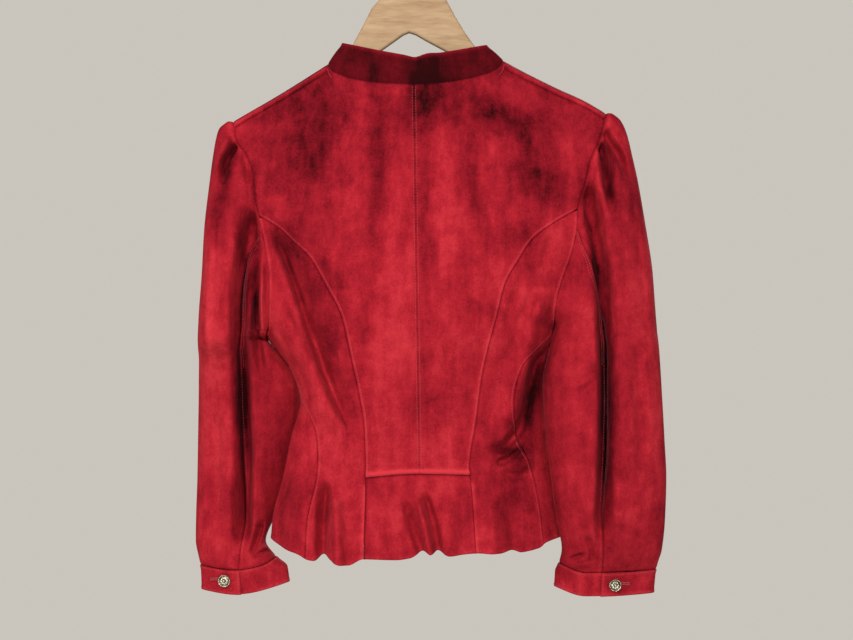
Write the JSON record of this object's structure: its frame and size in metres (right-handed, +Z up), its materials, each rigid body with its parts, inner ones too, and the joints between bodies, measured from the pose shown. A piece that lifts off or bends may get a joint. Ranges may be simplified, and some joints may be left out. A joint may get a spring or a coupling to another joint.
{
  "type": "suede jacket on wooden hanger",
  "caption": "Fitted suede jacket with a stand collar, puffed sleeve heads, buttoned cuffs and a split peplum, hung on a wooden hanger.",
  "frame": {"origin": "inside the top of the hanger's hook, where a rail carries it", "axes": "+Z up; -Y out of the jacket's back, which is the side the picture shows; +X to the wearer's right"},
  "size_m": [0.5623, 0.1513, 0.794],
  "materials": {
    "suede": "napped suede, matt",
    "button_metal": "antique, darkened in the relief",
    "wood": "pale beech, clear varnish",
    "steel": "bright wire"
  },
  "bodies": {
    "root": {"back_left": "suede", "side_back_left": "suede", "front_left": "suede", "back_right": "suede", "side_back_right": "suede", "front_right": "suede", "peplum_back": "suede", "sleeve_upper_left": "suede", "sleeve_under_left": "suede", "cuff_left": "suede", "sleeve_upper_right": "suede", "sleeve_under_right": "suede", "cuff_right": "suede", "collar": "suede", "cuff_button_left": "button_metal", "cuff_button_right": "button_metal", "front_button_1": "button_metal", "front_button_2": "button_metal", "front_button_3": "button_metal", "front_button_4": "button_metal", "front_button_5": "button_metal", "front_button_6": "button_metal", "hanger_body": "wood", "hanger_hook": "steel"}
  },
  "joints": []
}
